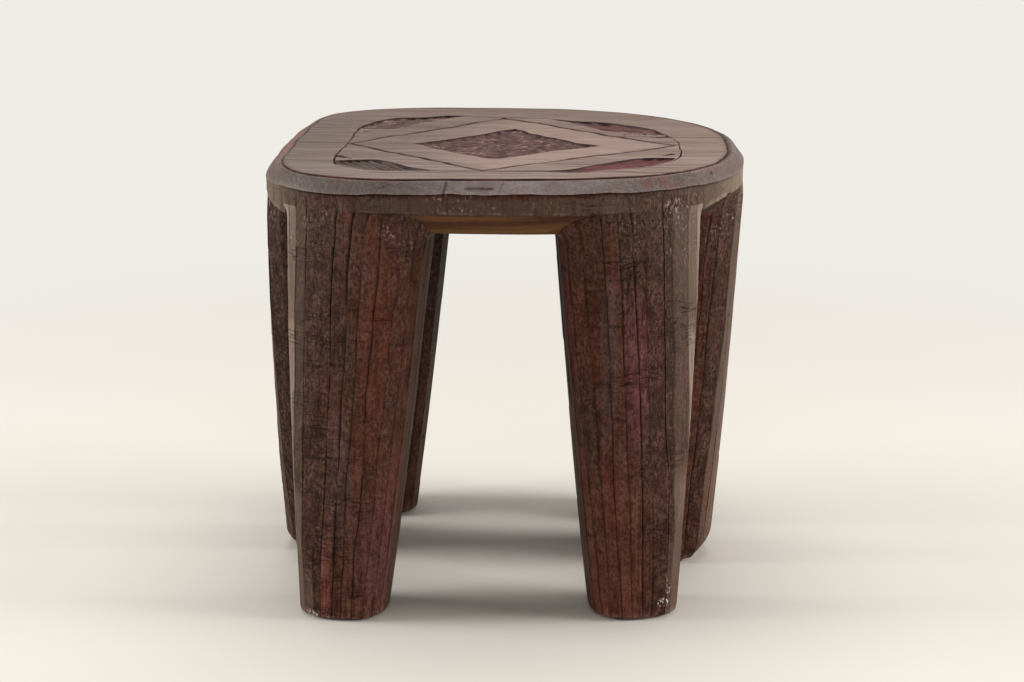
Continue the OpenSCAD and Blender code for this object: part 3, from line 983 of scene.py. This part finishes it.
top_found, top_triangles, top_index, top_new = web(web_points, loop_edges, boundary)
lines, sunk, part = carve(top_found)
top_fade, under_fade = 12, 10
edge_fade = np.clip(distance(top_found, boundary) / top_fade, 0, 1)
heights = seat_top - np.maximum(np.minimum(lines, 1.2) * line_deep, sunk * sunk_deep)
heights -= edge_fade * np.clip(0.35 + wavy(top_found, 4, 0.3), 0, None)
slide = np.stack([wavy(top_found, 5, 0.5), wavy(top_found, 6, 0.5)], -1) * edge_fade[:, None]

# Where the tool marks run: small punched marks in the middle diamond, long flutes in the corners.
# Each has a direction, a length and a width
flow = [(0.0, 5.6, 3.6), (0.75, 12.0, 4.6), (-0.75, 30.0, 5.0), (-0.9, 40.0, 4.6), (0.72, 34.0, 5.5)]
tooled = np.zeros((len(top_found), 3))
for number, (angle, length, width) in enumerate(flow, 1):
    inside = part == number
    x, y = top_found[inside].T
    c, s = math.cos(angle), math.sin(angle)
    tooled[inside] = np.stack([(x * c + y * s) / length, (y * c - x * s) / width, 5.0 * number + 0 * x], -1)

# One mesh of the edge rings, the carved top and the flat underside
ring_total = len(edge_rings) * around
faces, kinds = [], []
for r, kind in enumerate(edge_kinds[:-1]):
    for i in range(around):
        j = (i + 1) % around
        faces.append((r * around + i, (r + 1) * around + i, (r + 1) * around + j, r * around + j))
        kinds.append(kind)

top_index[top_new] = ring_total + np.arange(len(top_new))
for triangle, low in zip(top_triangles, sunk[top_triangles].max(1) > 0.5):
    faces.append(tuple(top_index[triangle]))
    kinds.append(low_ground if low else top)

flat_edge = edge_rings[-1][:, :2]
flat_points = sprinkle(under_step, lambda points: within(points, flat_edge))
flat_points = flat_points[distance(flat_points, flat_edge) > 3]
edges = [(i, (i + 1) % around) for i in range(around)]
flat_found, flat_triangles, flat_index, flat_new = web([*flat_edge, *flat_points], edges, flat_edge)
flat_index += ring_total - around
flat_index[flat_new] = ring_total + len(top_new) + np.arange(len(flat_new))
for triangle in flat_index[flat_triangles]:
    faces.append((triangle[0], triangle[2], triangle[1]))
    kinds.append(under)
flat_fade = np.clip(distance(flat_found[flat_new], flat_edge) / under_fade, 0, 1)
flat_heights = underside + np.abs(wavy(flat_found[flat_new], 9, 0.8)) * flat_fade

places = np.concatenate([*edge_rings, np.column_stack([(top_found + slide)[top_new], heights[top_new]]),
                         np.column_stack([flat_found[flat_new], flat_heights])])
blank_seat = bpy.data.meshes.new("seat_blank")
blank_seat.from_pydata((places * mm).tolist(), [], faces)
blank_seat.polygons.foreach_set("material_index", kinds)
blank_seat.polygons.foreach_set("use_smooth", [True] * len(faces))
redness = np.array([0.5, 0.45, 0.25, 0.6, 0.0, 1.0])[part]
on_top = {"line": lines, "sunk": sunk, "redness": redness}
for name in (*on_top, "tone", "rub", "bare", "bloom", "dim"):
    values = np.zeros(len(places), np.float32)
    for r, marks in enumerate(edge_marks):
        values[r * around:(r + 1) * around] = marks.get(name, 0)
    if name in on_top:
        values[ring_total:ring_total + len(top_new)] = on_top[name][top_new]
    blank_seat.attributes.new(name, "FLOAT", "POINT").data.foreach_set("value", values)
values = np.zeros((len(places), 3), np.float32)
values[ring_total:ring_total + len(top_new)] = tooled[top_new]
blank_seat.attributes.new("tooled", "FLOAT_VECTOR", "POINT").data.foreach_set("vector", values.ravel())


def gouge_marks_tree():
    """Presses the marks of the gouge into the sunk parts of the carving."""
    takes = {"Seat": "Geometry", "Mark Depth": 0.001}
    tree, given, out = new_tree("gouge_marks", "GeometryNodeTree", takes, ["Seat"], "Geometry")
    kept = "GeometryNodeInputNamedAttribute"
    marks = first_out(add_node(tree, kept, {"data_type": "FLOAT_VECTOR"}, Name="tooled"))
    amount = Reckon(tree, first_out(add_node(tree, kept, {"data_type": "FLOAT"}, Name="sunk")))
    cells = add_node(tree, "ShaderNodeTexVoronoi", Vector=marks, Scale=1.0, Randomness=0.8)
    punched = Reckon(tree, cells.outputs["Distance"]).between(0.05, 0.75) ** 1.4
    parts = add_node(tree, "ShaderNodeSeparateXYZ", Vector=marks)
    waver = add_node(tree, "ShaderNodeTexNoise", Vector=marks, Scale=1.3)
    across = Reckon(tree, parts.outputs["Y"]) + Reckon(tree, waver.outputs[0]) * 0.9
    fluted = ((across.by("FRACT") - 0.5).away() * 2).between(0.1, 0.9)
    in_corner = Reckon(tree, parts.outputs["Z"]).between(6, 9)
    ridge = (punched + (fluted * 0.8 + punched * 0.3 - punched) * in_corner) * amount
    chip = Reckon(tree, cells.outputs["Color"]) * amount
    raised = ridge * Reckon(tree, given.outputs["Mark Depth"])
    lift = add_node(tree, "ShaderNodeCombineXYZ", X=0.0, Y=0.0, Z=raised).outputs[0]
    shape = add_node(tree, "GeometryNodeSetPosition", Geometry=given.outputs["Seat"], Offset=lift)
    shape = marked(tree, shape.outputs[0], {"ridge": ridge, "chip": chip})
    shape = add_node(tree, "GeometryNodeRealizeInstances", Geometry=shape)
    tree.links.new(shape.outputs[0], out.inputs["Seat"])
    return tree


mark_depth = 1.4 * mm
seat = worked(gouge_marks_tree(), "hewn_seat", {"Mark Depth": mark_depth}, blank=blank_seat)

lay, mixed, use, mark, finish = new_wood("sat_on_top", 0.6, 0.1)
grain, patch, line, here = use(level_grain), use(old_stain, Fleck_Share=0.0), mark("line"), use(above_floor)
# Redder and lighter towards the right; the darker grey left is partly painted shade.
rosy_and_lit = (here["Right"] * 4 + patch["Large"] * 0.5).between(-0.4, 0.9)
# Painted sheen: the top is paler towards the front and the right.
pale = (here["Right"] * 0.5 - here["Back"]).between(-0.06, 0.16)
lay(mixed("775d53", "5c4f48", rosy_and_lit))
lay(mixed("a0877c", "80736a", rosy_and_lit), grain["Broad"])
lay("b39e92", grain["Middle"] * (0.3 + pale * 0.4))
frame_half_wide, frame_half_deep = 112 * mm, 106 * mm
frame_share = (here["Right"] / frame_half_wide).away() + (here["Back"] / frame_half_deep).away()
# Lighter inside the carved frame, on its right half only; its left half is kept darker as painted shade.
inside_frame = (1 - frame_share.between(0.93, 1.0)) * here["Right"].between(-0.07, 0.01)
lay("bb9c90", inside_frame * 0.55)
lay("49372f", (1 - grain["Fine"]) * (0.38 - pale * 0.18))
lay("7e4a41", grain["Red Streak"] * (0.25 + rosy_and_lit * 0.5))
lay("675c56", patch["Large"] * (0.35 - pale * 0.3))
lay(mixed("53302b", "2a1815", patch["Upright"]), line.between(0.02, 0.4))
lay("170e0c", line.between(0.8, 1.15))
top_wood = finish(grain["Fine"] * 0.4 + grain["Middle"] * 0.3, 0.3 * mm)

lay, mixed, use, mark, finish = new_wood("gouged_ground", 0.65)
grain, patch = use(level_grain), use(old_stain, Fleck_Share=0.4)
ridge, chip, redness = mark("ridge"), mark("chip"), mark("redness")
lay(mixed("200e0d", "150e0b", redness))
lay(mixed("632d2f", "51433a", redness), ridge.between(0.02, 0.5))
lay(mixed("92635e", "8a796f", redness), ridge.between(0.4, 0.9) * (0.1 + chip * 0.5))
half_red = redness * (1 - redness) * 4
lay("b98d8c", ridge.between(0.5, 0.8) * chip.between(0.7, 0.85) * half_red * 0.8)
lay("24110f", (1 - patch["Grit"]) * 0.35)
lay("a5827c", patch["Fleck"] * 0.6)
ground_wood = finish(grain["Fine"] * 0.3 + patch["Small"] * 0.5, 0.4 * mm)

lay, mixed, use, mark, finish = new_wood("bevelled_edge", 0.5, 0.25)
patch = use(old_stain, Fleck_Share=0.6)
line, rub, bare, bloom = mark("line"), mark("rub"), mark("bare"), mark("bloom")
along = use(above_floor)["Right"]
front_right, front_left = along.between(0.03, 0.1), along.between(-0.02, -0.09)
lay("4b3d36")
lay("756a67", patch["Large"])
lay("744a41", patch["Upright"] * (0.3 + front_right * 0.65))
lay("8f857f", patch["Small"] * (1 - patch["Upright"]) * 0.4)
lay("33231e", (1 - patch["Grit"]) * (0.35 + front_right * 0.25))
lay("a38e86", patch["Fleck"] * 0.5)
lay("5d534d", bloom.clipped() * (0.3 + patch["Grit"] * 0.4))
lay("4a3f3b", front_left * (1 - bare) * 0.5)
lay("8b6154", bare * 0.7)
lay("a08c84", rub * (0.3 + patch["Grit"] * 0.4))
lay(mixed("4a2a26", "231613", patch["Upright"]), line.between(0.05, 0.8) * 0.9)
lay("1c1413", line.between(0.95, 1.3))
bevel_wood = finish(patch["Small"] * 0.6 + patch["Grit"] * 0.3, 0.4 * mm)

lay, mixed, use, mark, finish = new_wood("underside_wood", 0.7, 0.12)
grain, patch, bare = use(level_grain), use(old_stain, Fleck_Share=0.1), mark("bare")
lay("3c251a")
lay("7a5838", grain["Broad"])
lay("24150f", grain["Middle"] * 0.5)
lay("7a3a20", patch["Small"] * 0.2)
lay("33201b", 1 - bare.between(0.0, 1.0))
under_wood = finish(grain["Broad"] * 0.7 + grain["Fine"] * 0.3, 0.6 * mm)

for wood in (top_wood, ground_wood, bevel_wood, leg_wood, under_wood):
    seat.data.materials.append(wood)
seat.data.set_sharp_from_angle(angle=math.radians(30))
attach(seat, "root")
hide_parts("seat")
